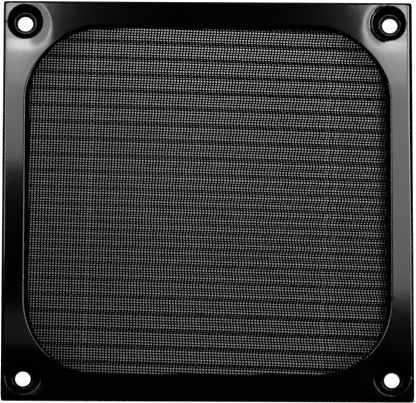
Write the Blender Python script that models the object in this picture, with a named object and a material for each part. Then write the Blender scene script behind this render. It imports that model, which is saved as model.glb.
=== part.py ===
"""Dust filter for a 120 mm fan: a pleated wire screen between a pressed front frame and a flat rear frame.

It lies on its rear face with the front up, centred on the origin, in metres. The sizes below are
in millimetres. The screen is one wall with ridges and slots in place of its single wires.
"""

import math

import bmesh
import bpy
from mathutils import Matrix

MM = 0.001

# Screws: the hole spacing of a 120 mm fan, and the holes themselves
HOLE_PITCH = 105.0
SCREW_HOLE_RADIUS = 2.15
RECESS_HOLE_RADIUS = 3.0

# Front frame: one pressed sheet, its edge bent down and folded in behind
FRONT_SHEET = 0.5
RECESS_MOUTH_RADIUS = 5.5
RECESS_LIP_RADIUS = 0.8
RECESS_LAND = 0.1
EDGE_INNER_RADIUS = 0.25
OUTER_CORNER_RADIUS = 1.2
SIDE_BAND_WIDTH = 6.5
END_BAND_WIDTH = 7.45
OPENING_CORNER_RADIUS = 22.0
OPENING_EDGE_RADIUS = 0.4
HEM_WIDTH = 3.0
HEM_INNER_RADIUS = 0.15
MITRE_GAP = 0.5
CUTTER_OVERRUN = 1.0

# Rear frame: a flat sheet whose opening is a little smaller, more so at the ends of the pleats
REAR_SHEET = 0.5
SIDE_LIP_WIDTH = 1.2
END_LIP_WIDTH = 0.1

# Screen: wire cloth, pleated from left to right and set in a little askew
SCREEN_WALL = 0.4
SCREEN_TUCK = 2.0
PLEAT_PITCH = 4.87
PLEAT_RISE = 1.5
PLEAT_TILT_DEGREES = 1.7
SLOT_RIB = 1.6
SLOT_END_MARGIN = 1.5
SLOTS_PER_PLEAT = 5
SLOT_START_PHASE = 0.25

# Gap that stands for contact between two pieces
CLEARANCE = 0.25

# Facets
BEND_STEPS = 4
CORNER_STEPS = 4
OPENING_CORNER_STEPS = 12
RECESS_SIDES = 28
SCREW_HOLE_SIDES = 24
STEPS_PER_PLEAT = 6
SLOT_STEPS = 3
LEAST_STEP_SHARE = 1 / 3

# Heights, from the hem up
REAR_BOTTOM = FRONT_SHEET + CLEARANCE
REAR_TOP = REAR_BOTTOM + REAR_SHEET
SCREEN_BOTTOM = REAR_TOP + CLEARANCE
SCREEN_TOP = SCREEN_BOTTOM + PLEAT_RISE + SCREEN_WALL
FRONT_UNDERSIDE = SCREEN_TOP + CLEARANCE
FRONT_TOP = FRONT_UNDERSIDE + FRONT_SHEET
RECESS_FLOOR_UNDERSIDE = REAR_TOP + CLEARANCE
RECESS_FLOOR = RECESS_FLOOR_UNDERSIDE + FRONT_SHEET

# Widths, from the centre out
EDGE_BEND_RADIUS = EDGE_INNER_RADIUS + FRONT_SHEET
HEM_BEND_RADIUS = HEM_INNER_RADIUS + FRONT_SHEET
HALF_SIDE = HOLE_PITCH / 2 + RECESS_MOUTH_RADIUS + RECESS_LAND + EDGE_BEND_RADIUS
HALF_OPENING_X = HALF_SIDE - SIDE_BAND_WIDTH
HALF_OPENING_Y = HALF_SIDE - END_BAND_WIDTH
LEAST_CORNER_RADIUS = 0.15


def clear_scene():
    for thing in list(bpy.data.objects):
        bpy.data.objects.remove(thing, do_unlink=True)


def painted(name, colour, roughness, metallic):
    """A Principled material of one colour."""
    material = bpy.data.materials.new(name)
    material.use_nodes = True
    shader = material.node_tree.nodes["Principled BSDF"]
    shader.inputs["Base Color"].default_value = (*colour, 1.0)
    shader.inputs["Roughness"].default_value = roughness
    shader.inputs["Metallic"].default_value = metallic
    return material


def add_part(name, mesh_data, material, sharp_degrees=30):
    """Puts a finished bmesh into the scene as one object."""
    bmesh.ops.recalc_face_normals(mesh_data, faces=mesh_data.faces)
    mesh = bpy.data.meshes.new(name)
    mesh_data.to_mesh(mesh)
    mesh_data.free()
    mesh.shade_smooth()
    mesh.set_sharp_from_angle(angle=math.radians(sharp_degrees))
    mesh.materials.append(material)
    part = bpy.data.objects.new(name, mesh)
    bpy.context.scene.collection.objects.link(part)
    return part


def rounded_rectangle(half_x, half_y, radius, steps):
    """Points round a rectangle with rounded corners, counter-clockwise."""
    points = []
    for quarter, (side_x, side_y) in enumerate(((1, 1), (-1, 1), (-1, -1), (1, -1))):
        centre_x = side_x * (half_x - radius)
        centre_y = side_y * (half_y - radius)
        for step in range(steps + 1):
            angle = math.radians(90 * (quarter + step / steps))
            points.append((centre_x + radius * math.cos(angle), centre_y + radius * math.sin(angle)))
    return points


def circle(centre, radius, sides):
    """Points round a circle, counter-clockwise."""
    turns = (2 * math.pi * step / sides for step in range(sides))
    return [(centre[0] + radius * math.cos(turn), centre[1] + radius * math.sin(turn)) for turn in turns]


def hole_centres():
    half = HOLE_PITCH / 2
    return [(x, y) for x in (-half, half) for y in (-half, half)]


def add_ring(mesh_data, outline, height):
    return [mesh_data.verts.new((x * MM, y * MM, height * MM)) for x, y in outline]


def bridge(mesh_data, rings):
    """Walls between each ring and the next."""
    for lower, upper in zip(rings, rings[1:]):
        for step, corner in enumerate(lower):
            following = (step + 1) % len(lower)
            mesh_data.faces.new((corner, lower[following], upper[following], upper[step]))


def fill_between(mesh_data, rings):
    """A flat face bounded by the first ring, with the other rings as holes in it."""
    edges = []
    for ring in rings:
        for corner, following in zip(ring, ring[1:] + ring[:1]):
            ends = (corner, following)
            edges.append(mesh_data.edges.get(ends) or mesh_data.edges.new(ends))
    bmesh.ops.triangle_fill(mesh_data, use_beauty=True, edges=edges)


def bend(centre, radius, start_degrees, turn_degrees):
    """Points of a bend about a centre in a section, starting and turning by these angles."""
    points = []
    for step in range(BEND_STEPS + 1):
        angle = math.radians(start_degrees + turn_degrees * step / BEND_STEPS)
        points.append((centre[0] + radius * math.cos(angle), centre[1] + radius * math.sin(angle)))
    return points


def outer_section():
    """The folded edge as (distance from the middle, height), from the top round to the underside."""
    bend_centre = HALF_SIDE - EDGE_BEND_RADIUS
    section = bend((bend_centre, FRONT_TOP - EDGE_BEND_RADIUS), EDGE_BEND_RADIUS, 90, -90)
    section += bend((HALF_SIDE - HEM_BEND_RADIUS, HEM_BEND_RADIUS), HEM_BEND_RADIUS, 0, -90)
    section += [(HALF_SIDE - HEM_WIDTH, 0.0), (HALF_SIDE - HEM_WIDTH, FRONT_SHEET)]
    inside = HALF_SIDE - FRONT_SHEET
    section += [(inside - HEM_INNER_RADIUS, FRONT_SHEET), (inside, FRONT_SHEET + HEM_INNER_RADIUS)]
    section += [(inside, FRONT_UNDERSIDE - EDGE_INNER_RADIUS)]
    section += [(inside - EDGE_INNER_RADIUS, FRONT_UNDERSIDE)]
    return section


def recess_section():
    """The countersunk recess as (radius, height): lip, cone, hole, and the same under the sheet."""
    lip_centre = (RECESS_MOUTH_RADIUS, FRONT_TOP - RECESS_LIP_RADIUS)
    run = lip_centre[0] - RECESS_HOLE_RADIUS
    rise = lip_centre[1] - RECESS_FLOOR
    slope = math.degrees(math.atan2(rise, run) + math.asin(RECESS_LIP_RADIUS / math.hypot(run, rise)))
    section = bend(lip_centre, RECESS_LIP_RADIUS, 90, slope)
    section += [(RECESS_HOLE_RADIUS, RECESS_FLOOR), (RECESS_HOLE_RADIUS, RECESS_FLOOR_UNDERSIDE)]
    under_lip = bend(lip_centre, RECESS_LIP_RADIUS - FRONT_SHEET, 90 + slope, -slope)
    foot_run = (under_lip[0][1] - RECESS_FLOOR_UNDERSIDE) / math.tan(math.radians(slope))
    return section + [(under_lip[0][0] - foot_run, RECESS_FLOOR_UNDERSIDE)] + under_lip


def opening_section():
    """The rounded inner edge, as (distance out from the opening, height), from the top face down."""
    edge_centre = (OPENING_EDGE_RADIUS, FRONT_TOP - OPENING_EDGE_RADIUS)
    edge = bend(edge_centre, OPENING_EDGE_RADIUS, 90, 90)
    return edge + [(0.0, FRONT_UNDERSIDE)]


def make_mitre_cutters(material):
    """One box across each corner of the hem, as deep as the hem and short of the outer wall."""
    mesh_data = bmesh.new()
    inner_end = (HALF_SIDE - HEM_WIDTH) * math.sqrt(2) - CUTTER_OVERRUN
    wall_corner = OUTER_CORNER_RADIUS - FRONT_SHEET
    outer_end = (HALF_SIDE - OUTER_CORNER_RADIUS) * math.sqrt(2) + wall_corner - CLEARANCE
    top = FRONT_SHEET + CLEARANCE / 2
    for corner in range(4):
        turn = math.radians(45 + 90 * corner)
        box = bmesh.ops.create_cube(mesh_data, size=1.0)["verts"]
        size = ((outer_end - inner_end) * MM, MITRE_GAP * MM, 2 * top * MM)
        bmesh.ops.scale(mesh_data, verts=box, vec=size)
        bmesh.ops.translate(mesh_data, verts=box, vec=((outer_end + inner_end) / 2 * MM, 0, 0))
        bmesh.ops.rotate(mesh_data, verts=box, cent=(0, 0, 0), matrix=Matrix.Rotation(turn, 3, "Z"))
    cutters = add_part("mitre_cutters", mesh_data, material)
    cutters.hide_render = True
    cutters.display_type = "WIRE"
    return cutters


def add_recess(mesh_data, centre):
    """The walls and floor of one recess, between its mouth and its outline on the underside."""
    rings = []
    for radius, height in recess_section():
        rings.append(add_ring(mesh_data, circle(centre, radius, RECESS_SIDES), height))
    bridge(mesh_data, rings)
    return rings


def make_front_frame(material):
    """The pressed front frame, with the four mitre gaps cut in its hem."""
    mesh_data = bmesh.new()
    outer = []
    for distance, height in outer_section():
        radius = max(OUTER_CORNER_RADIUS - (HALF_SIDE - distance), LEAST_CORNER_RADIUS)
        outline = rounded_rectangle(distance, distance, radius, CORNER_STEPS)
        outer.append(add_ring(mesh_data, outline, height))
    bridge(mesh_data, outer)
    inner = []
    for distance, height in opening_section():
        halves = (HALF_OPENING_X + distance, HALF_OPENING_Y + distance)
        outline = rounded_rectangle(*halves, OPENING_CORNER_RADIUS + distance, OPENING_CORNER_STEPS)
        inner.append(add_ring(mesh_data, outline, height))
    bridge(mesh_data, inner)
    recesses = [add_recess(mesh_data, centre) for centre in hole_centres()]
    fill_between(mesh_data, [outer[0], inner[0]] + [rings[0] for rings in recesses])
    fill_between(mesh_data, [outer[-1], inner[-1]] + [rings[-1] for rings in recesses])
    frame = add_part("front_frame", mesh_data, material)
    mitre = frame.modifiers.new("mitre gaps", "BOOLEAN")
    mitre.object = make_mitre_cutters(material)
    mitre.operation = "DIFFERENCE"
    mitre.solver = "EXACT"
    return frame


def make_rear_frame(material):
    """The flat rear frame, inside the hem, with its screw holes."""
    half = HALF_SIDE - FRONT_SHEET - CLEARANCE
    corner = max(OUTER_CORNER_RADIUS - FRONT_SHEET - CLEARANCE, LEAST_CORNER_RADIUS)
    outlines = [rounded_rectangle(half, half, corner, CORNER_STEPS)]
    halves = (HALF_OPENING_X - SIDE_LIP_WIDTH, HALF_OPENING_Y - END_LIP_WIDTH)
    opening_corner = OPENING_CORNER_RADIUS - SIDE_LIP_WIDTH
    outlines.append(rounded_rectangle(*halves, opening_corner, OPENING_CORNER_STEPS))
    outlines += [circle(centre, SCREW_HOLE_RADIUS, SCREW_HOLE_SIDES) for centre in hole_centres()]
    mesh_data = bmesh.new()
    lower = [add_ring(mesh_data, outline, REAR_BOTTOM) for outline in outlines]
    upper = [add_ring(mesh_data, outline, REAR_TOP) for outline in outlines]
    for rings in zip(lower, upper):
        bridge(mesh_data, rings)
    fill_between(mesh_data, lower)
    fill_between(mesh_data, upper)
    return add_part("rear_frame", mesh_data, material)


def screen_corner_radius(half):
    """The corner radius that follows the opening, or more where the corner has to clear the recess."""
    reach = RECESS_MOUTH_RADIUS + CLEARANCE
    needed = (half - HOLE_PITCH / 2 + reach / math.sqrt(2)) / (1 - 1 / math.sqrt(2))
    return max(OPENING_CORNER_RADIUS + SCREEN_TUCK, needed)


def screen_half_width(y, half, radius):
    """Half the width of the rounded-square screen at this height on it."""
    above = abs(y) - (half - radius)
    if above <= 0:
        return half
    return half - radius + math.sqrt(max(radius**2 - above**2, 0.0))


def screen_rows(half):
    """Places of the rows of points: each crest and trough, as many between, and both ends."""
    step = PLEAT_PITCH / STEPS_PER_PLEAT
    first_crest = SLOT_START_PHASE * PLEAT_PITCH
    count = int(half / step) + STEPS_PER_PLEAT
    rows = [first_crest + index * step for index in range(-count, count + 1)]
    return [-half] + [y for y in rows if abs(y) < half - LEAST_STEP_SHARE * step] + [half]


def row_places(half_width):
    """Places across one row: its two ends, and the two ends of each slot."""
    reach = half_width - SCREEN_TUCK - SLOT_END_MARGIN
    pitch = (2 * reach + SLOT_RIB) / SLOTS_PER_PLEAT
    places = [-half_width]
    for slot in range(SLOTS_PER_PLEAT):
        start = -reach + slot * pitch
        places += [start, start + pitch - SLOT_RIB]
    return places + [half_width]


def in_slot(low_y, high_y, column):
    """Whether a cell is open: every other column, on the flank that falls from each crest towards +Y."""
    if column % 2 == 0 or max(abs(low_y), abs(high_y)) > HALF_OPENING_Y - SLOT_END_MARGIN:
        return False
    phase = (low_y + high_y) / 2 / PLEAT_PITCH % 1
    return SLOT_START_PHASE < phase < SLOT_START_PHASE + SLOT_STEPS / STEPS_PER_PLEAT


def make_screen(material):
    """The pleated screen: a surface with its slots left out, then given its wall."""
    half = HALF_OPENING_X + SCREEN_TUCK
    radius = screen_corner_radius(half)
    middle = (SCREEN_BOTTOM + SCREEN_TOP) / 2
    rows = screen_rows(half)
    mesh_data = bmesh.new()
    grid = []
    for y in rows:
        height = middle + PLEAT_RISE / 2 * math.sin(2 * math.pi * y / PLEAT_PITCH)
        places = row_places(screen_half_width(y, half, radius))
        grid.append([mesh_data.verts.new((x * MM, y * MM, height * MM)) for x in places])
    for index, (near, far) in enumerate(zip(grid, grid[1:])):
        for column in range(len(near) - 1):
            if not in_slot(rows[index], rows[index + 1], column):
                mesh_data.faces.new((near[column], near[column + 1], far[column + 1], far[column]))
    screen = add_part("filter_screen", mesh_data, material, sharp_degrees=60)
    screen.rotation_euler.z = -math.radians(PLEAT_TILT_DEGREES)
    wall = screen.modifiers.new("wall", "SOLIDIFY")
    wall.thickness = SCREEN_WALL * MM
    wall.offset = 0.0
    return screen


clear_scene()
make_front_frame(painted("gloss black", (0.008, 0.008, 0.009), 0.2, 0.0))
make_rear_frame(painted("black sheet", (0.01, 0.01, 0.01), 0.35, 0.0))
make_screen(painted("black wire", (0.012, 0.012, 0.012), 0.45, 0.0))
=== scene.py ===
"""Dust filter for a 120 mm fan: a pleated wire screen in a folded, gloss black sheet frame.

It lies on its rear face on a lit white table, and is seen from above and a little from its lower edge.
"""

import math

import bpy
import numpy as np
from mathutils import Matrix, Vector


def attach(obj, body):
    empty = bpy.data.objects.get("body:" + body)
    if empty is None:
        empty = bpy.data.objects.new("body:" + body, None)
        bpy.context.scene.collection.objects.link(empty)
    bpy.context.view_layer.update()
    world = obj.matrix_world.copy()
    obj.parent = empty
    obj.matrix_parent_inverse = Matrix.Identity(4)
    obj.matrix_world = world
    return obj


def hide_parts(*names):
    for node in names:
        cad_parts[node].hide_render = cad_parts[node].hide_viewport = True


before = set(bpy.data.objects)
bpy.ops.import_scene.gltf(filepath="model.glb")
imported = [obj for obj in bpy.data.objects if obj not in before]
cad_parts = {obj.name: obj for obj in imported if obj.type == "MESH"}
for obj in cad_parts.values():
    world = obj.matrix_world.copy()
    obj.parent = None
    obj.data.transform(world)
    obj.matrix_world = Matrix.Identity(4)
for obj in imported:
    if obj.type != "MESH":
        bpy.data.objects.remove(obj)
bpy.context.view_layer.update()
MM = 0.001


# Camera: far off with a long lens, 15 degrees off the vertical towards the lower edge of the filter.
# It is turned by a trace, as the filter lies in the picture.
AZIMUTH, ELEVATION, ROLL = (math.radians(angle) for angle in (-3.46, 75.33, 3.63))
CAMERA_DISTANCE = 2.045
LENS_MM = 617.5
PICTURE_SHIFT = Vector((0.00013, 0.00023, 0.0))

towards_camera = Vector((
    math.sin(AZIMUTH) * math.cos(ELEVATION),
    -math.cos(AZIMUTH) * math.cos(ELEVATION),
    math.sin(ELEVATION),
))
bpy.ops.object.camera_add()
camera = bpy.context.object
camera.name = "camera"
camera.data.lens = LENS_MM
camera.data.sensor_width = 36.0
camera.data.clip_start = 0.01
camera.data.clip_end = 20.0
camera.rotation_mode = "QUATERNION"
level = (-towards_camera).to_track_quat("-Z", "Y")
camera.rotation_quaternion = level @ Matrix.Rotation(ROLL, 3, "Z").to_quaternion()
camera.location = towards_camera * CAMERA_DISTANCE + level @ PICTURE_SHIFT
bpy.context.scene.camera = camera


# Table: a wide white sheet, lit through so that it shows white round the filter and between the wires.
# Under the filter its glow is painted darker by place, as painted shadow of the filter: most beside its
# upright bands and in its corners, and more towards its lower edge. Gloss edges don't mirror the sheet.
# Reach of the painted shadow under the filter: half side of the square, and distance from the middle.
SHADED_HALF, SHADED_REACH = 0.057, 0.068
OPEN_GLOW = 1.1
bpy.ops.mesh.primitive_plane_add(size=6.0, location=(0, 0, -0.0003))
table = bpy.context.object
table.name = "table"
table_paint = bpy.data.materials.new("lit white table")
table_paint.use_nodes = True
table_nodes, table_links = table_paint.node_tree.nodes, table_paint.node_tree.links
table_shader = table_nodes["Principled BSDF"]
table_shader.inputs["Base Color"].default_value = (0.3, 0.3, 0.3, 1)
table_shader.inputs["Roughness"].default_value = 0.9
table_shader.inputs["Emission Strength"].default_value = 1.0


def table_math(operation, first, second):
    """A node that works out one number of the table's glow from two others."""
    node = table_nodes.new("ShaderNodeMath")
    node.operation = operation
    for socket, value in zip(node.inputs, (first, second)):
        if isinstance(value, float):
            socket.default_value = value
        else:
            table_links.new(value, socket)
    return node.outputs["Value"]


def table_ramp(place, start, stop, marks):
    """A node that gives the glow at a place from its (share of the way, glow) marks."""
    share = table_nodes.new("ShaderNodeMapRange")
    share.inputs["From Min"].default_value = start
    share.inputs["From Max"].default_value = stop
    table_links.new(place, share.inputs["Value"])
    ramp = table_nodes.new("ShaderNodeValToRGB")
    ramp.color_ramp.interpolation = "EASE"
    while len(ramp.color_ramp.elements) < len(marks):
        ramp.color_ramp.elements.new(0.5)
    for element, (position, level) in zip(ramp.color_ramp.elements, marks):
        element.position = position
        element.color = (level, level, level, 1)
    table_links.new(share.outputs["Result"], ramp.inputs["Fac"])
    return ramp.outputs["Color"]


table_place = table_nodes.new("ShaderNodeTexCoord")
table_axes = table_nodes.new("ShaderNodeSeparateXYZ")
table_links.new(table_place.outputs["Object"], table_axes.inputs["Vector"])
along, upward = table_axes.outputs["X"], table_axes.outputs["Y"]
farther = table_math("MAXIMUM", table_math("ABSOLUTE", along, 0.0), table_math("ABSOLUTE", upward, 0.0))
table_reach = table_nodes.new("ShaderNodeVectorMath")
table_reach.operation = "LENGTH"
table_links.new(table_place.outputs["Object"], table_reach.inputs[0])
from_middle = table_reach.outputs["Value"]
beside = table_math("MAXIMUM", table_math("GREATER_THAN", farther, SHADED_HALF),
                    table_math("GREATER_THAN", from_middle, SHADED_REACH))
# Painted shadow in the table's glow under the filter: darker towards its lower edge, beside its bands and
# in its corners.
up_glow = table_ramp(upward, -0.05, 0.05, ((0.0, 0.52), (0.3, 0.56), (0.6, 0.73), (1.0, 0.97)))
left_glow = table_ramp(along, -0.052, 0.0, ((0.0, 0.4), (0.05, 0.68), (1.0, 1.0)))
right_glow = table_ramp(along, 0.0485, 0.0503, ((0.0, 1.0), (1.0, 0.12)))
side_glow = table_math("MULTIPLY", left_glow, right_glow)
corner_glow = table_ramp(from_middle, 0.054, 0.065, ((0.0, 1.0), (1.0, 0.45)))
painted_shade = table_math("MULTIPLY", table_math("MULTIPLY", up_glow, side_glow), corner_glow)
glow = table_math("MAXIMUM", painted_shade, table_math("MULTIPLY", beside, OPEN_GLOW))
table_links.new(glow, table_shader.inputs["Emission Color"])
table.data.materials.append(table_paint)
table.visible_glossy = False


# Lamps: a soft box over each upper corner, brighter towards its far edge, with a narrower one beside it.
# A hot strip and a hot patch light the press marks there, a weak box lights the lower left band, a
# narrow panel at each side the bent edges, and a weak one far back the rest. Strips, patches and side
# panels hang a little lower, in front of the boxes. Each box ends where its mirror image ends on the
# gloss black band. The room is dark.
def soft_box(name, centre_mm, size_mm, radiance, far_boost=1.0, turn_degrees=(0, 0, 0)):
    """A lamp of this brightness in its mirror image, that rises towards its far edge."""
    bpy.ops.object.light_add(type="AREA", location=Vector(centre_mm) * MM)
    lamp = bpy.context.object
    lamp.name = name
    lamp.rotation_euler = [math.radians(angle) for angle in turn_degrees]
    lamp.data.shape = "RECTANGLE"
    lamp.data.size = size_mm[0] * MM
    lamp.data.size_y = size_mm[1] * MM
    lamp.data.energy = radiance * math.pi * lamp.data.size * lamp.data.size_y
    lamp.visible_camera = False
    if far_boost != 1.0:
        lamp.data.use_nodes = True
        nodes, links = lamp.data.node_tree.nodes, lamp.data.node_tree.links
        place = nodes.new("ShaderNodeNewGeometry")
        along = nodes.new("ShaderNodeSeparateXYZ")
        rise = nodes.new("ShaderNodeMapRange")
        rise.inputs["To Min"].default_value = 1.0
        rise.inputs["To Max"].default_value = far_boost
        links.new(place.outputs["Parametric"], along.inputs["Vector"])
        links.new(along.outputs["Y"], rise.inputs["Value"])
        links.new(rise.outputs["Result"], nodes["Emission"].inputs["Strength"])


SOFT_BOX_HEIGHT = 260
soft_box("left_soft_box", (-103, 122, SOFT_BOX_HEIGHT), (104, 86), 2.9, far_boost=1.95)
soft_box("left_inner_box", (-48, 97, SOFT_BOX_HEIGHT), (6, 36), 3.2)
soft_box("right_soft_box", (106, 100, SOFT_BOX_HEIGHT), (96, 130), 2.7, far_boost=1.9)
soft_box("right_inner_box", (56, 74, SOFT_BOX_HEIGHT), (4, 78), 3.2)
soft_box("left_hot_strip", (-58, 140, SOFT_BOX_HEIGHT - 2), (10, 70), 2.5, far_boost=6.5)
soft_box("right_hot_strip", (66, 140, SOFT_BOX_HEIGHT - 2), (12, 70), 2.5, far_boost=6.5)
soft_box("left_hot_patch", (-54, 142, SOFT_BOX_HEIGHT - 1), (10, 18), 7.0)
soft_box("right_hot_patch", (58, 142, SOFT_BOX_HEIGHT - 1), (9, 18), 7.0)
soft_box("low_left_box", (-57, 24, SOFT_BOX_HEIGHT), (30, 11), 0.25)
soft_box("back_panel", (0, 900, 190), (1600, 340), 0.5, turn_degrees=(-90, 0, 0))
soft_box("left_panel", (-182, 110, SOFT_BOX_HEIGHT - 4), (40, 110), 18.0)
soft_box("right_panel", (182, 97, SOFT_BOX_HEIGHT - 4), (40, 136), 22.0)

world = bpy.data.worlds.new("dark room")
world.use_nodes = True
world.node_tree.nodes["Background"].inputs["Color"].default_value = (0.5, 0.5, 0.5, 1)
world.node_tree.nodes["Background"].inputs["Strength"].default_value = 0.004
bpy.context.scene.world = world
bpy.context.scene.view_settings.view_transform = "Standard"


# Screen: square woven cloth of black coated aluminium wire, 30 wires to the inch, pressed into small
# pleats that run from left to right. It is one piece and sits a little askew in its frame. Where a wire
# crosses over another, it is lifted by a share of its radius.
WIRE_PITCH = 0.845
WIRE_RADIUS = 0.262
WEAVE_LIFT = 0.6
PLEAT_PITCH = 4.87
PLEAT_HALF_RISE = 0.655
WIRES_PER_PLEAT = 6.87
SCREEN_MIDDLE = 2.45
SCREEN_HALF = 54.35
SCREEN_CORNER = 24.0
SCREEN_TURN = math.radians(-1.75)
END_GAP = 0.1
SCREEN_REACH, ARC_SAMPLES = 60.0, 12001


def pleat_arc():
    """Places across the pleats, and the length of cloth from the middle to each of them."""
    across = np.linspace(-SCREEN_REACH, SCREEN_REACH, ARC_SAMPLES)
    slope = PLEAT_HALF_RISE * 2 * math.pi / PLEAT_PITCH * np.cos(2 * math.pi * across / PLEAT_PITCH)
    step = np.sqrt(1 + slope**2) * (across[1] - across[0])
    length = np.concatenate(([0.0], np.cumsum(step[1:])))
    return across, length - np.interp(0.0, across, length)


def half_width(place):
    """Half the width of the rounded square that the screen is cut to, this far from its middle."""
    above = np.maximum(np.abs(place) - (SCREEN_HALF - SCREEN_CORNER), 0.0)
    return SCREEN_HALF - SCREEN_CORNER + np.sqrt(np.maximum(SCREEN_CORNER**2 - above**2, 0.0))


def lean_along(x):
    """How far the crests lean to the right, as a share of their height."""
    return 0.24 + 0.0046 * x


def lean_across(y):
    """How far the crests lean towards the upper edge, as a share of their height."""
    return -0.26 + 0.003 * y


def on_cloth(x, y, lift):
    """Points on the pleated cloth, turned with it and lifted off its middle surface."""
    turn = 2 * math.pi * y / PLEAT_PITCH
    slope = PLEAT_HALF_RISE * 2 * math.pi / PLEAT_PITCH * np.cos(turn)
    steep = np.sqrt(1 + slope**2)
    height = PLEAT_HALF_RISE * np.sin(turn) + lift / steep
    across = y - lift * slope / steep
    leant_x = x + height * lean_along(x)
    leant_y = across + height * lean_across(y)
    turned_x = leant_x * math.cos(SCREEN_TURN) - leant_y * math.sin(SCREEN_TURN)
    turned_y = leant_x * math.sin(SCREEN_TURN) + leant_y * math.cos(SCREEN_TURN)
    return np.stack((turned_x, turned_y, SCREEN_MIDDLE + height), 1) * MM


def wire_cloth(name, runs, paint):
    """All wires of one direction as one piece: a bevelled curve, made a mesh."""
    curve = bpy.data.curves.new(name, "CURVE")
    curve.dimensions = "3D"
    curve.bevel_depth = WIRE_RADIUS * MM
    curve.bevel_resolution = 0
    curve.use_fill_caps = True
    for points in runs:
        wire = curve.splines.new("POLY")
        wire.points.add(len(points) - 1)
        wire.points.foreach_set("co", np.column_stack((points, np.ones(len(points)))).ravel())
    cloth = bpy.data.objects.new(name, curve)
    bpy.context.scene.collection.objects.link(cloth)
    bpy.ops.object.select_all(action="DESELECT")
    cloth.select_set(True)
    bpy.context.view_layer.objects.active = cloth
    bpy.ops.object.convert(target="MESH")
    cloth = bpy.context.object
    cloth.data.materials.clear()
    cloth.data.materials.append(paint)
    bpy.ops.object.shade_smooth()
    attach(cloth, "root")
    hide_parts("filter_screen")


def noise(paint, scale, detail=2.0):
    """A share from 0 to 1 that wanders over the piece."""
    nodes, links = paint.node_tree.nodes, paint.node_tree.links
    place = nodes.new("ShaderNodeTexCoord")
    spread = nodes.new("ShaderNodeTexNoise")
    spread.inputs["Scale"].default_value = scale
    spread.inputs["Detail"].default_value = detail
    links.new(place.outputs["Object"], spread.inputs["Vector"])
    return spread.outputs["Fac"]


def shade_by(paint, share, first_place, shades):
    """Give the paint its darker grey up to this place of the share, and its lighter one further up."""
    nodes, links = paint.node_tree.nodes, paint.node_tree.links
    ramp = nodes.new("ShaderNodeValToRGB")
    for element, place, shade in zip(ramp.color_ramp.elements, (first_place, 0.75), shades):
        element.position = place
        element.color = (shade, shade, shade, 1)
    links.new(share, ramp.inputs["Fac"])
    links.new(ramp.outputs["Color"], nodes["Principled BSDF"].inputs["Base Color"])


def roughen_by(paint, share, places, roughness):
    """Give the paint its two roughnesses at these two places of the share."""
    nodes, links = paint.node_tree.nodes, paint.node_tree.links
    rough = nodes.new("ShaderNodeMapRange")
    for end, place, value in zip(("Min", "Max"), places, roughness):
        rough.inputs["From " + end].default_value = place
        rough.inputs["To " + end].default_value = value
    links.new(share, rough.inputs["Value"])
    links.new(rough.outputs["Result"], nodes["Principled BSDF"].inputs["Roughness"])


def wire_paint():
    """Black coating on drawn wire: nearly matt, a little uneven in shade and in gloss."""
    paint = bpy.data.materials.new("black coated wire")
    paint.use_nodes = True
    paint.node_tree.nodes["Principled BSDF"].inputs["Specular IOR Level"].default_value = 0.04
    shade_by(paint, noise(paint, 60.0, 3.0), 0.3, (0.0005, 0.002))
    roughen_by(paint, noise(paint, 4000.0), (0.0, 1.0), (0.35, 0.6))
    return paint


across_places, cloth_lengths = pleat_arc()
black_wire = wire_paint()
wire_count = int(SCREEN_HALF / WIRE_PITCH)
columns = np.arange(-wire_count, wire_count + 1)
row_pitch = np.interp(PLEAT_PITCH, across_places, cloth_lengths) / WIRES_PER_PLEAT
row_count = int(np.interp(SCREEN_HALF, across_places, cloth_lengths) / row_pitch)
rows = np.arange(-row_count, row_count + 1)
row_places = np.interp(rows * row_pitch, cloth_lengths, across_places)
column_places = columns * WIRE_PITCH

warp_runs = []
for column, x in zip(columns, column_places):
    end = float(half_width(np.array([x]))[0])
    inside = np.abs(row_places) < end - END_GAP
    y = np.concatenate(([-end], row_places[inside], [end]))
    over = np.where((rows[inside] + column) % 2 == 0, 1.0, -1.0)
    lift = np.concatenate(([0.0], over, [0.0])) * WIRE_RADIUS * WEAVE_LIFT
    warp_runs.append(on_cloth(np.full(len(y), x), y, lift))
weft_runs = []
for row, y in zip(rows, row_places):
    end = float(half_width(np.array([y]))[0])
    inside = np.abs(column_places) < end - END_GAP
    x = np.concatenate(([-end], column_places[inside], [end]))
    over = np.where((columns[inside] + row) % 2 == 0, -1.0, 1.0)
    lift = np.concatenate(([0.0], over, [0.0])) * WIRE_RADIUS * WEAVE_LIFT
    weft_runs.append(on_cloth(x, np.full(len(x), y), lift))
wire_cloth("warp_wires", warp_runs, black_wire)
wire_cloth("weft_wires", weft_runs, black_wire)


# Front frame: one sheet of 0.5 mm aluminium, pressed and then enamelled gloss black. The press leaves
# a countersunk recess in each corner and draws the sheet down a little round it. The edge is bent down
# all round and folded in behind, with a mitre gap in each corner of the fold.
HALF_SIDE = 58.85
FRONT_TOP = 4.15
SHEET = 0.5
EDGE_BEND, HEM_BEND = 1.0, 0.65
HEM_WIDTH, MITRE_GAP = 3.0, 0.5
MITRE_OVERRUN, MITRE_LEFT, MITRE_HEIGHT = 1.0, 0.2, 1.2
FLAT_HALF = HALF_SIDE - EDGE_BEND
FLAT_CORNER = 0.45
ROLL_WIDTH, ROLL_DROP = 0.6, 0.3
ROLL_X, ROLL_Y, ROLL_CORNER = 52.35 + ROLL_WIDTH, 51.4 + ROLL_WIDTH, 22.0 + ROLL_WIDTH
CUT_X, CUT_Y = ROLL_X - ROLL_CORNER, ROLL_Y - ROLL_CORNER
HOLE_PLACE = 52.5
RECESS_MOUTH, RECESS_HOLE, RECESS_FLOOR = 5.3, 3.0, 2.0
LIP_RADIUS, FOOT_RADIUS, RECESS_LAND = 0.35, 0.2, 0.04
BEND_STEPS, HEM_STEPS, INNER_STEPS, LIP_STEPS, CONE_STEPS, ROLL_STEPS = 10, 8, 4, 8, 6, 12
SIDE_STEPS, FAR_STEPS, NEAR_STEPS, CORNER_STEPS, ARC_STEPS = 40, 14, 40, 6, 72
NEAR_REACH = 8.0
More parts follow.
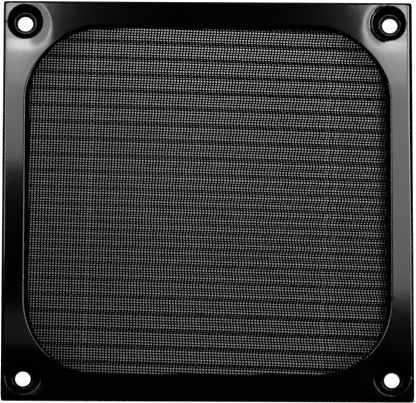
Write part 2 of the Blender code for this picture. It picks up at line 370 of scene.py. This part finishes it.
RING_PLACES = (0, 0.12, 0.3, 0.55, 0.8, 1.05, 1.25, 1.42, 1.56, 1.7, 1.84, 1.98, 2.15, 2.4, 2.8, 3.4, 4.3,
               5.6, 7.5, 10.5, 15, 20, 23.7, 24)
UNDER_PLACES = (0, 1.2, 2.4, 5, 12, 24)
CUT_PLACES = (0, 0.03, 0.25, 0.5, 0.75, 0.97, 1)
LEAST_ANGLE = 0.002
JOIN_DISTANCE = 0.001
# Height above which the sheet follows what is pressed in at its top, in full only at the top.
MOVED_FROM = 1.5
# Slope of the sheet inside the press marks, radius of the rim beyond the mouth, how softly the mark
# starts at the mouth, and how much farther again it reaches straight below.
PRESSED_SLOPE, RIM_RADIUS, MOUTH_SOFTNESS, BELOW_STRETCH = 0.055, 1.6, 0.02, 3.0
# For each corner (side of the picture, then upper or lower): reach of the press mark from the middle
# of the hole, how much farther it reaches on the lower side, how softly it ends there and below, and
# how far the rim is rounded beyond the mouth on the inner side.
PRESS_MARKS = {
    (-1, 1): (7.25, 0.66, 0.11, 0.9, 0.0),
    (1, 1): (7.1, 0.5, 0.45, 1.1, 1.0),
    (-1, -1): (6.8, -0.3, 0.5, 0.5, 0.0),
    (1, -1): (6.7, -0.3, 0.45, 0.45, 0.0),
}
# How far the opening's rounded corners lie inside the even arc, upper and lower ones.
ARC_SHIFTS = {1: 0.7, -1: -0.4}
ARC_SHIFT_REACH = 1.5
# How much farther in the bend of the right edge begins, from its lower half up to its upper one.
SOFT_BEND, SOFT_BEND_FROM, SOFT_BEND_TO = 0.6, -12.0, 22.0


def bend(centre, radius, start_degrees, turn_degrees, steps):
    """Points of a bend in a section, as (distance out, height)."""
    angles = np.radians(start_degrees + turn_degrees * np.linspace(0.0, 1.0, steps + 1))
    return [(centre[0] + radius * math.cos(a), centre[1] + radius * math.sin(a)) for a in angles]


def quarter_round(half_x, half_y, radius, steps):
    """Points and outward directions round the upper right corner, from the right side to the top."""
    angles = np.radians(np.linspace(0.0, 90.0, steps + 1))
    out = np.stack((np.cos(angles), np.sin(angles)), 1)
    return np.array((half_x - radius, half_y - radius)) + radius * out, out


def outer_line():
    """Points of the bend line in the upper right corner, from the right side's cut to the upper one's."""
    end = FLAT_HALF - FLAT_CORNER
    sides = []
    for cut in (CUT_Y, CUT_X):
        near = HOLE_PLACE - NEAR_REACH
        places = [*np.linspace(cut, near, FAR_STEPS + 1), *np.linspace(near, end, NEAR_STEPS + 1)[1:]]
        sides.append(np.array([(FLAT_HALF, place) for place in places]))
    corner, corner_out = quarter_round(FLAT_HALF, FLAT_HALF, FLAT_CORNER, CORNER_STEPS)
    corner_out /= corner_out.max(axis=1, keepdims=True)
    points = np.concatenate((sides[0], corner[1:-1], sides[1][::-1, ::-1]))
    out = np.concatenate((np.tile((1.0, 0.0), (len(sides[0]), 1)), corner_out[1:-1],
                          np.tile((0.0, 1.0), (len(sides[1]), 1))))
    return points, out


def sheet_patch(rows):
    """A patch of the sheet's surface: a grid primitive, its points laid along these rows."""
    rows = np.asarray(rows, float)
    bpy.ops.mesh.primitive_grid_add(x_subdivisions=rows.shape[1] - 1, y_subdivisions=rows.shape[0] - 1)
    patch = bpy.context.object
    patch.data.vertices.foreach_set("co", (rows.reshape(-1, 3) * MM).ravel())
    return patch


def side_places(cut):
    """Even places along a side, between its two cuts."""
    return np.linspace(-cut, cut, SIDE_STEPS + 1)


def loop_round(points, out, half_x, half_y):
    """A closed loop all round the frame from one corner's points, with each side's even steps between."""
    loop, loop_out = [], []
    for turn_x, turn_y, backwards in ((1, 1, False), (-1, 1, True), (-1, -1, False), (1, -1, True)):
        turn = np.array((turn_x, turn_y))
        if backwards:
            side = np.array([(place, half_y * turn_y) for place in side_places(CUT_X)[1:-1] * -turn_y])
            side_out = np.tile((0.0, turn_y), (len(side), 1))
        else:
            side = np.array([(half_x * turn_x, place) for place in side_places(CUT_Y)[1:-1] * turn_x])
            side_out = np.tile((turn_x, 0.0), (len(side), 1))
        order = slice(None, None, -1 if backwards else 1)
        loop += [side, (points * turn)[order]]
        loop_out += [side_out, (out * turn)[order]]
    loop, loop_out = np.concatenate(loop), np.concatenate(loop_out)
    return np.concatenate((loop, loop[:1])), np.concatenate((loop_out, loop_out[:1]))


def swept(loop, out, section, corner_limit=None):
    """Rows of points: the section, as (distance out, height), carried round the loop."""
    rows = []
    even_out = out / np.linalg.norm(out, axis=1, keepdims=True)
    for distance, height in section:
        places = loop + (out if distance > 0 else even_out) * distance
        if corner_limit is not None and distance < -FLAT_CORNER:
            places = np.clip(places, -(corner_limit + distance), corner_limit + distance)
        rows.append(np.column_stack((places, np.full(len(places), height))))
    return rows


def top_share(z):
    """How much of a move at the sheet's top these heights follow."""
    return np.clip((z - MOVED_FROM) / (FRONT_TOP - MOVED_FROM), 0.0, 1.0)


def press_depth(x, y, z):
    """How far the press has drawn the sheet down at these places, round each recess."""
    depth = np.zeros(len(x))
    for side, (reach, farther, softness, softness_below, rounded) in PRESS_MARKS.items():
        along, up = x - side[0] * HOLE_PLACE, y - side[1] * HOLE_PLACE
        inner = np.maximum(-side[0] * along, 0.0)
        distance = np.hypot(inner, up)
        below = np.clip(-up / np.maximum(distance, 0.1), -1.0, 1.0)
        own_reach = reach + farther * below
        own_reach += BELOW_STRETCH * max(farther, 0.0) * np.maximum(below - 0.5, 0.0)
        soft = softness + (softness_below - softness) * np.clip(below, 0.0, 1.0)
        true_distance = np.maximum(np.hypot(along, up), RECESS_MOUTH)
        fade = MOUTH_SOFTNESS + np.maximum(side[0] * along, 0.0) / true_distance
        past_mouth = fade * np.logaddexp(0.0, (distance - RECESS_MOUTH) / fade)
        inward = (own_reach - RECESS_MOUTH - past_mouth) / soft
        pressed = PRESSED_SLOPE * soft * np.logaddexp(0.0, inward)
        rim = np.maximum(RECESS_MOUTH + rounded - true_distance, 0.0) ** 2 / (2 * RIM_RADIUS)
        share = inner / true_distance
        depth += pressed + rim * share**2 * (3 - 2 * share)
    return depth * top_share(z)


def arc_shift(x, y):
    """How far these places are moved along and up, where the opening's corner isn't an even arc."""
    along, up = np.maximum(np.abs(x) - CUT_X, 0.0), np.maximum(np.abs(y) - CUT_Y, 0.0)
    distance = np.maximum(np.hypot(along, up), 0.1)
    share = np.clip((ROLL_CORNER + ARC_SHIFT_REACH - distance) / ARC_SHIFT_REACH, 0.0, 1.0)
    shift = np.where(y > 0, ARC_SHIFTS[1], ARC_SHIFTS[-1]) * share * (2 * along * up / distance**2) ** 2
    return -np.sign(x) * shift * along / distance, -np.sign(y) * shift * up / distance


def bend_shift(x, y, z):
    """How far these places are moved in, where the right edge is bent more softly than the others."""
    share = np.clip((y - SOFT_BEND_FROM) / (SOFT_BEND_TO - SOFT_BEND_FROM), 0.0, 1.0)
    shift = SOFT_BEND * share * np.interp(x, (HOLE_PLACE, FLAT_HALF, HALF_SIDE), (0.0, 1.0, 0.0))
    return -shift * top_share(z)


def recess_section():
    """The countersunk recess as (radius, height): lip, cone, foot, hole wall, and under the sheet."""
    centre = (RECESS_MOUTH, FRONT_TOP - LIP_RADIUS)
    foot_centre = (RECESS_HOLE + RECESS_LAND, RECESS_FLOOR + FOOT_RADIUS)
    run, rise = centre[0] - foot_centre[0], centre[1] - foot_centre[1]
    between = math.asin((LIP_RADIUS + FOOT_RADIUS) / math.hypot(run, rise))
    slope = math.degrees(math.atan2(rise, run) + between)
    section = bend(centre, LIP_RADIUS, 90, slope, LIP_STEPS)
    foot = bend(foot_centre, FOOT_RADIUS, slope - 90, -slope, LIP_STEPS)
    section += [tuple(p) for p in np.linspace(section[-1], foot[0], CONE_STEPS + 1)[1:-1]]
    section += foot + [(RECESS_HOLE, RECESS_FLOOR)]
    turn = math.radians(slope)
    under_x = RECESS_HOLE + SHEET * math.sin(turn)
    under_z = RECESS_FLOOR - SHEET * math.cos(turn)
    under_foot, under_mouth = ((under_x + (height - under_z) / math.tan(turn), height)
                               for height in (RECESS_FLOOR - SHEET, FRONT_TOP - SHEET))
    return section + [(RECESS_HOLE, RECESS_FLOOR - SHEET), under_foot, under_mouth,
                      (RECESS_MOUTH, FRONT_TOP - SHEET)]


def corner_patches(side):
    """The patches of one corner: the flat round the recess, above and below, and the recess itself."""
    outer, _ = outer_line()
    opening, _ = quarter_round(ROLL_X, ROLL_Y, ROLL_CORNER, ARC_STEPS)
    across = np.array(CUT_PLACES)
    upper_cut = np.column_stack((np.full(len(across), CUT_X), FLAT_HALF + (ROLL_Y - FLAT_HALF) * across))
    side_cut = np.column_stack((ROLL_X + (FLAT_HALF - ROLL_X) * across, np.full(len(across), CUT_Y)))
    edge = np.concatenate((outer, upper_cut[1:], opening[::-1][1:], side_cut[1:]))
    middle = np.array((HOLE_PLACE, HOLE_PLACE))
    reach = np.linalg.norm(edge - middle, axis=1)
    # The lines from the hole to the edge are kept in order and a little apart, and end on the edge.
    angle = np.unwrap(np.arctan2(*(edge - middle).T[::-1]))
    even_steps = LEAST_ANGLE * np.arange(len(angle))
    angle = np.maximum.accumulate(angle - even_steps) + even_steps
    direction = np.stack((np.cos(angle), np.sin(angle)), 1)
    aside = edge - middle - direction * reach[:, None]
    length = reach - RECESS_MOUTH
    patches = []
    for height, places in ((FRONT_TOP, RING_PLACES), (FRONT_TOP - SHEET, UNDER_PLACES)):
        rows = []
        for place in places:
            run = place / (1 + place * (1 / length - 1 / places[-1]))
            ring = middle + direction * (RECESS_MOUTH + run)[:, None] + aside * (run / length)[:, None]
            rows.append(np.column_stack((ring * side, np.full(len(ring), height))))
        patches.append(sheet_patch(rows))
    rows = [np.column_stack(((middle + direction * radius) * side, np.full(len(edge), height)))
            for radius, height in recess_section()]
    patches.append(sheet_patch(rows))
    return patches


front_patches = []
for side in PRESS_MARKS:
    front_patches += corner_patches(side)
for turn in (1, -1):
    for height in (FRONT_TOP, FRONT_TOP - SHEET):
        across_band = [turn * (ROLL_X + (FLAT_HALF - ROLL_X) * place) for place in CUT_PLACES]
        rows = [[(x, y, height) for x in across_band] for y in side_places(CUT_Y)]
        front_patches.append(sheet_patch(rows))
        across_band = [turn * (FLAT_HALF + (ROLL_Y - FLAT_HALF) * place) for place in CUT_PLACES]
        rows = [[(x, y, height) for y in across_band] for x in side_places(CUT_X)]
        front_patches.append(sheet_patch(rows))

edge_middle = FRONT_TOP - EDGE_BEND
edge_section = bend((0.0, edge_middle), EDGE_BEND, 90, -90, BEND_STEPS)
edge_section += bend((EDGE_BEND - HEM_BEND, HEM_BEND), HEM_BEND, 0, -90, HEM_STEPS)
hem_end = EDGE_BEND - HEM_WIDTH
edge_section += [(hem_end, 0.0), (hem_end, SHEET)]
edge_section += bend((EDGE_BEND - HEM_BEND, HEM_BEND), HEM_BEND - SHEET, -90, 90, INNER_STEPS)
edge_section += bend((0.0, edge_middle), EDGE_BEND - SHEET, 0, 90, INNER_STEPS)
outer_loop = loop_round(*outer_line(), FLAT_HALF, FLAT_HALF)
front_patches.append(sheet_patch(swept(*outer_loop, edge_section, FLAT_HALF)))

roll_section = [(-ROLL_WIDTH * math.sin(a), FRONT_TOP - ROLL_DROP * (1 - math.cos(a)))
                for a in np.radians(np.linspace(0.0, 90.0, ROLL_STEPS + 1))]
roll_section += [(-ROLL_WIDTH, FRONT_TOP - SHEET), (0.0, FRONT_TOP - SHEET)]
opening_loop = loop_round(*quarter_round(ROLL_X, ROLL_Y, ROLL_CORNER, ARC_STEPS), ROLL_X, ROLL_Y)
front_patches.append(sheet_patch(swept(*opening_loop, roll_section)))

bpy.ops.object.select_all(action="DESELECT")
for patch in front_patches:
    patch.select_set(True)
bpy.context.view_layer.objects.active = front_patches[0]
bpy.ops.object.join()
front = bpy.context.object
front.name = front.data.name = "front_sheet"
bpy.ops.object.mode_set(mode="EDIT")
bpy.ops.mesh.select_all(action="SELECT")
bpy.ops.mesh.remove_doubles(threshold=JOIN_DISTANCE * MM)
bpy.ops.mesh.delete_loose()
bpy.ops.mesh.select_all(action="SELECT")
bpy.ops.mesh.normals_make_consistent(inside=False)
bpy.ops.object.mode_set(mode="OBJECT")

points = np.empty(len(front.data.vertices) * 3)
front.data.vertices.foreach_get("co", points)
points = points.reshape(-1, 3)
places = points.T / MM
points[:, 2] -= press_depth(*places) * MM
points[:, :2] += np.column_stack(arc_shift(*places[:2])) * MM
points[:, 0] += bend_shift(*places) * MM
front.data.vertices.foreach_set("co", points.ravel())

mitre_inner = (HALF_SIDE - HEM_WIDTH) * math.sqrt(2) - MITRE_OVERRUN
mitre_outer = FLAT_HALF * math.sqrt(2) - MITRE_LEFT
reach = (mitre_inner + mitre_outer) / 2 * MM
cutters = []
for corner in range(4):
    turn = math.radians(45 + 90 * corner)
    bpy.ops.mesh.primitive_cube_add(
        size=MM,
        location=(reach * math.cos(turn), reach * math.sin(turn), 0),
        rotation=(0, 0, turn),
        scale=(mitre_outer - mitre_inner, MITRE_GAP, MITRE_HEIGHT),
    )
    cutters.append(bpy.context.object)
bpy.ops.object.select_all(action="DESELECT")
for cutter in cutters:
    cutter.select_set(True)
bpy.ops.object.join()
cutter = bpy.context.object
gaps = front.modifiers.new("mitre gaps", "BOOLEAN")
gaps.operation = "DIFFERENCE"
gaps.solver = "EXACT"
gaps.object = cutter
bpy.context.view_layer.objects.active = front
bpy.ops.object.modifier_apply(modifier=gaps.name)
bpy.data.objects.remove(cutter)
bpy.ops.object.select_all(action="DESELECT")
front.select_set(True)
bpy.ops.object.shade_smooth_by_angle(angle=math.radians(30))


def enamel(name, shade, roughness, peel_mm, shine=0.5):
    """Baked black enamel: slightly uneven like orange peel, and duller and greyer here and there."""
    paint = bpy.data.materials.new(name)
    paint.use_nodes = True
    nodes, links = paint.node_tree.nodes, paint.node_tree.links
    shader = nodes["Principled BSDF"]
    shader.inputs["Specular IOR Level"].default_value = shine

    clouds = noise(paint, 45.0, 4.0)
    shade_by(paint, clouds, 0.35, shade)
    mixed = nodes.new("ShaderNodeMath")
    mixed.operation = "MULTIPLY"
    links.new(clouds, mixed.inputs[0])
    links.new(noise(paint, 2500.0, 1.0), mixed.inputs[1])
    roughen_by(paint, mixed.outputs["Value"], (0.15, 0.4), roughness)

    bump = nodes.new("ShaderNodeBump")
    bump.inputs["Strength"].default_value = 1.0
    bump.inputs["Distance"].default_value = peel_mm * MM
    links.new(noise(paint, 420.0, 2.0), bump.inputs["Height"])
    links.new(bump.outputs["Normal"], shader.inputs["Normal"])
    return paint


front.data.materials.clear()
front.data.materials.append(enamel("gloss black enamel", (0.0006, 0.0012), (0.075, 0.1), 0.004))
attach(front, "root")
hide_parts("front_frame")


# Rear frame: a flat aluminium sheet inside the fold, satin black. It holds the edge of the screen
# against the front sheet, and shows as a dark lip round the opening and from behind.
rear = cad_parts["rear_frame"]
rear.data.materials.clear()
rear.data.materials.append(enamel("satin black enamel", (0.0012, 0.002), (0.4, 0.5), 0.006, shine=0.03))
